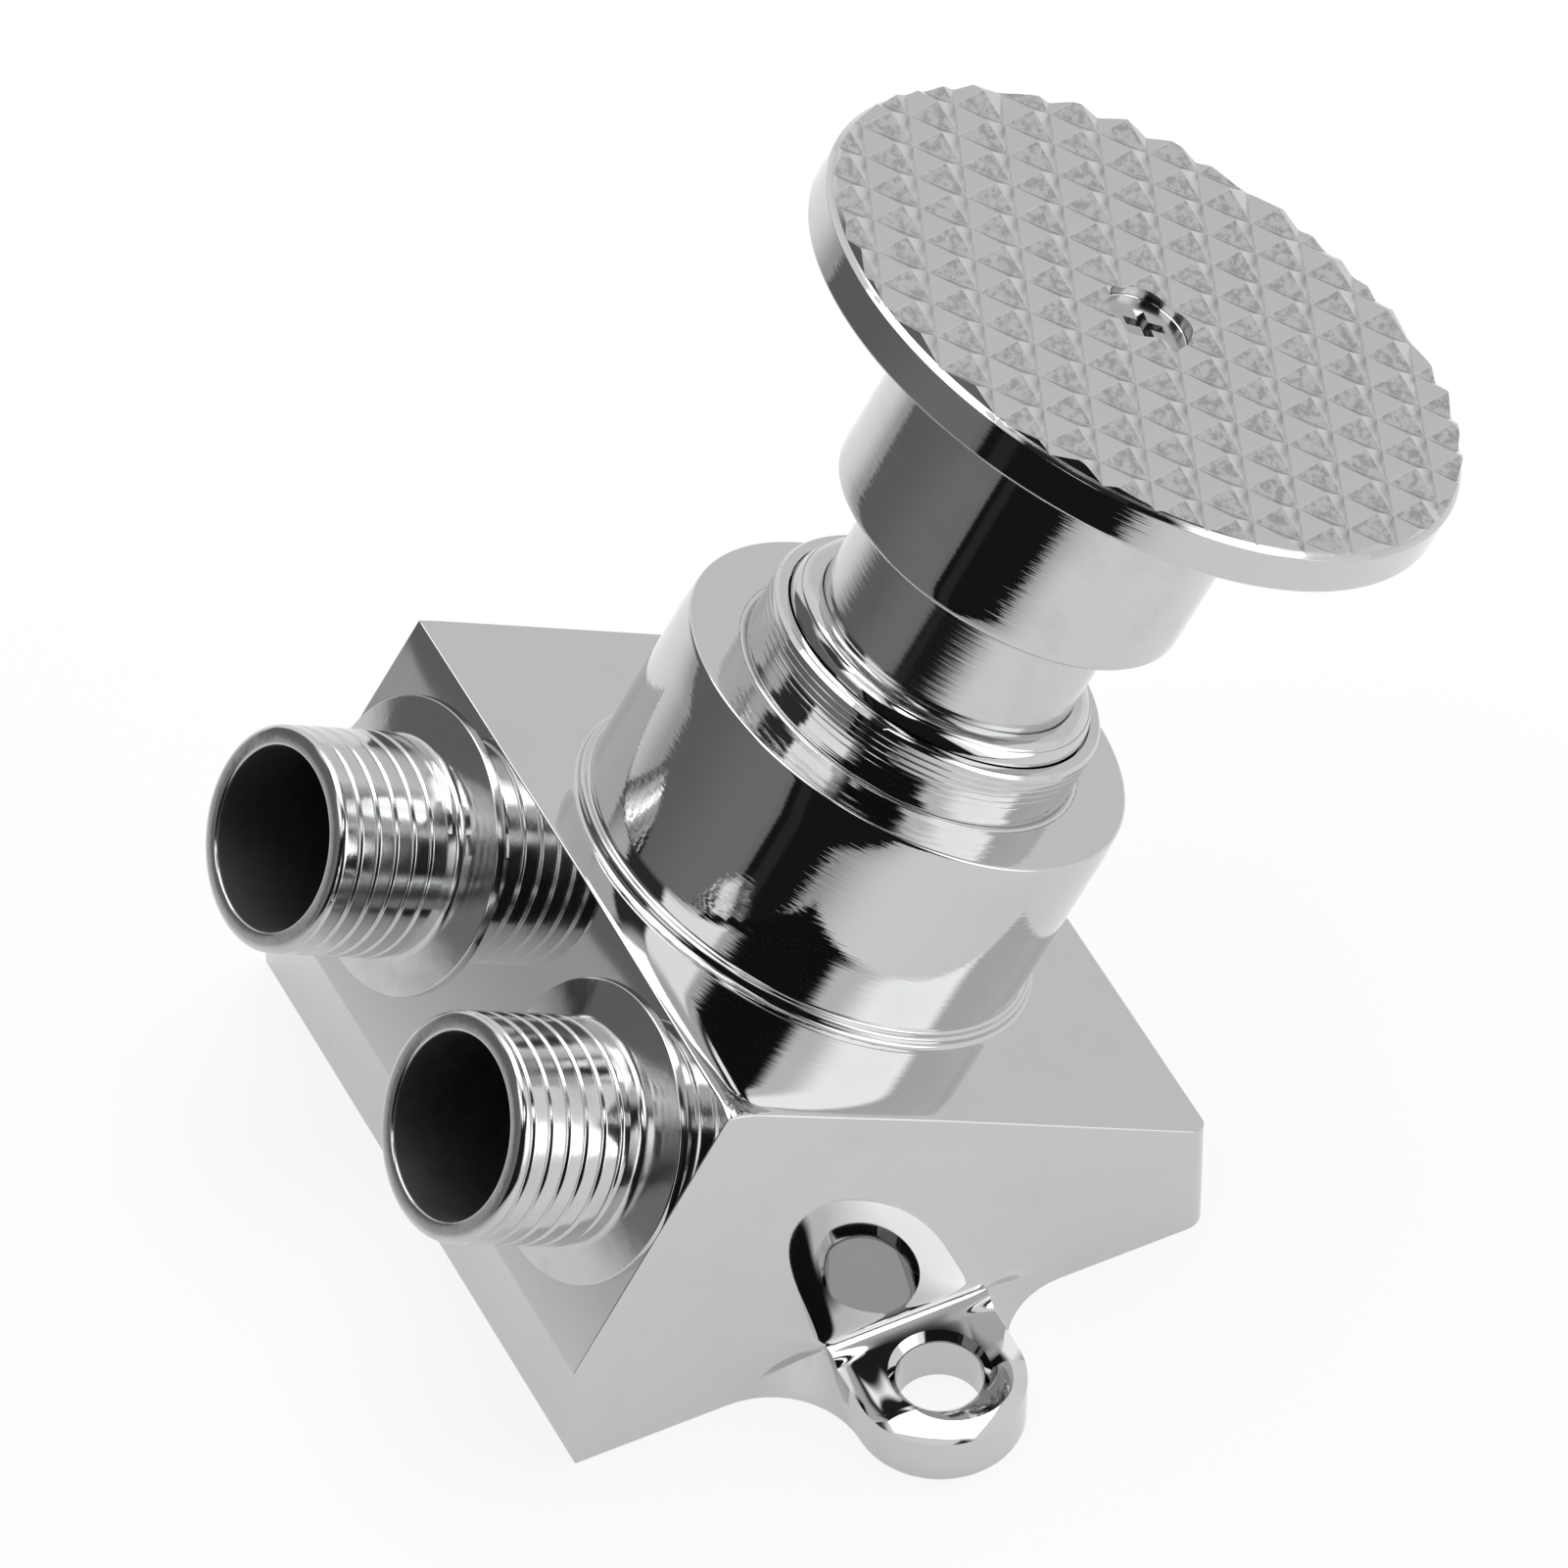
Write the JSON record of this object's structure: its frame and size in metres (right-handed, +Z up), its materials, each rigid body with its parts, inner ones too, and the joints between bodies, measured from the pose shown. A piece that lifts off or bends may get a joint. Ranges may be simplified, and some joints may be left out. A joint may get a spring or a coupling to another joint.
{
  "type": "foot pedal tap valve",
  "caption": "Chrome floor-mounted foot valve: wedge body with bolt lugs, threaded inlet and outlet nipples, and a leaning sprung pedal with a round pyramid tread.",
  "frame": {"origin": "on the base plane, midway between the two floor bolt holes", "axes": "+Z up, +X from the water ports towards the toe, +Y to the outlet side"},
  "size_m": [0.1112, 0.101, 0.1019],
  "materials": {
    "body_chrome": "polished chrome plate on a brass casting",
    "nipple_chrome": "chrome plate on a cut thread",
    "turned_chrome": "bright chrome plate on turned brass",
    "tread_chrome": "chrome plate, satin on the tread",
    "screw_steel": "bright stainless",
    "valve_brass": "machined",
    "washer_steel": "stamped",
    "spring_steel": "drawn wire",
    "seal_rubber": "matte black nitrile rubber"
  },
  "bodies": {
    "casing": {"valve_body": "body_chrome", "inlet_nipple": "nipple_chrome", "outlet_nipple": "nipple_chrome", "nipple_seals": "seal_rubber", "bonnet": "turned_chrome", "bonnet_gasket": "seal_rubber", "guide_bush": "turned_chrome", "sleeve_seal": "seal_rubber", "stem_seals": "seal_rubber", "seat_ring": "valve_brass", "seat_seal": "seal_rubber", "spring_seat": "washer_steel"},
    "carrier": {"spring_cap": "washer_steel", "return_spring": "spring_steel"},
    "pedal": {"pedal_disc": "tread_chrome", "pedal_hub": "turned_chrome", "pedal_screw": "screw_steel", "stem_sleeve": "turned_chrome", "spindle": "valve_brass", "poppet": "valve_brass", "poppet_washer": "seal_rubber", "poppet_nut": "valve_brass"}
  },
  "joints": [
    {"name": "pedal_press", "type": "slide", "parent": "casing", "child": "carrier", "axis": [-0.5, 0, -0.866], "range_m": [0, 0.008], "stiffness_N_per_m": 1700, "springref_m": -0.012, "deforming": ["return_spring"]},
    {"name": "pedal_swivel", "type": "hinge", "parent": "carrier", "child": "pedal", "pos_m": [0.01763, 0, 0.04533], "axis": [0.5, 0, 0.866], "continuous": true}
  ]
}
